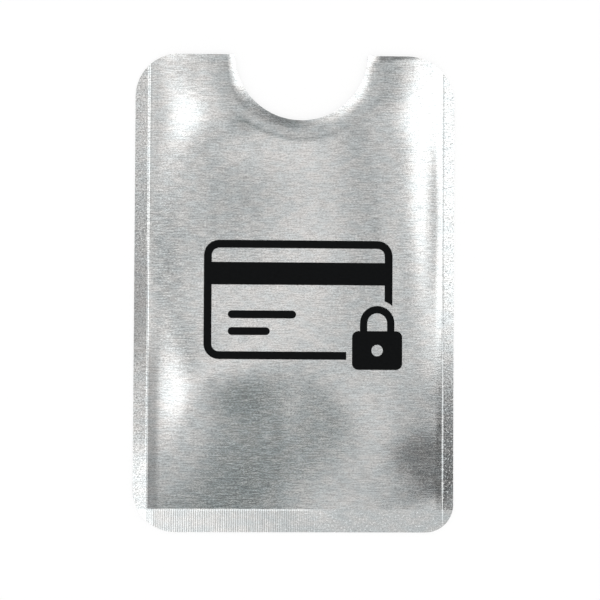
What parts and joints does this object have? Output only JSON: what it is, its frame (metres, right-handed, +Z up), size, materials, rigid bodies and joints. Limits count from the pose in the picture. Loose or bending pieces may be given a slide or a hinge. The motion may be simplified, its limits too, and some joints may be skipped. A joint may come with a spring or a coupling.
{
  "type": "rfid card holder",
  "caption": "Slim foil sleeve that holds one bank card, welded on three sides, with a round thumb notch at its open end.",
  "frame": {"origin": "centre of the outline, on the surface that the sleeve's back lies on", "axes": "+Y along the length towards the mouth and its notch, +X across the width, +Z up out of the printed front"},
  "size_m": [0.061, 0.091, 0.0012],
  "materials": {
    "clear_film": "clear satin film",
    "foil": "rolled, fine cross grain",
    "sealing_film": "milky sealing film",
    "weld": "melted film",
    "ink": "flat black screen ink"
  },
  "bodies": {
    "root": {"back_outer_film": "clear_film", "back_foil": "foil", "back_inner_film": "sealing_film", "left_seam": "weld", "right_seam": "weld", "base_seam": "weld", "front_inner_film": "sealing_film", "front_foil": "foil", "front_outer_film": "clear_film", "print_card_sign": "ink", "print_upper_bar": "ink", "print_lower_bar": "ink", "print_padlock": "ink"}
  },
  "joints": []
}
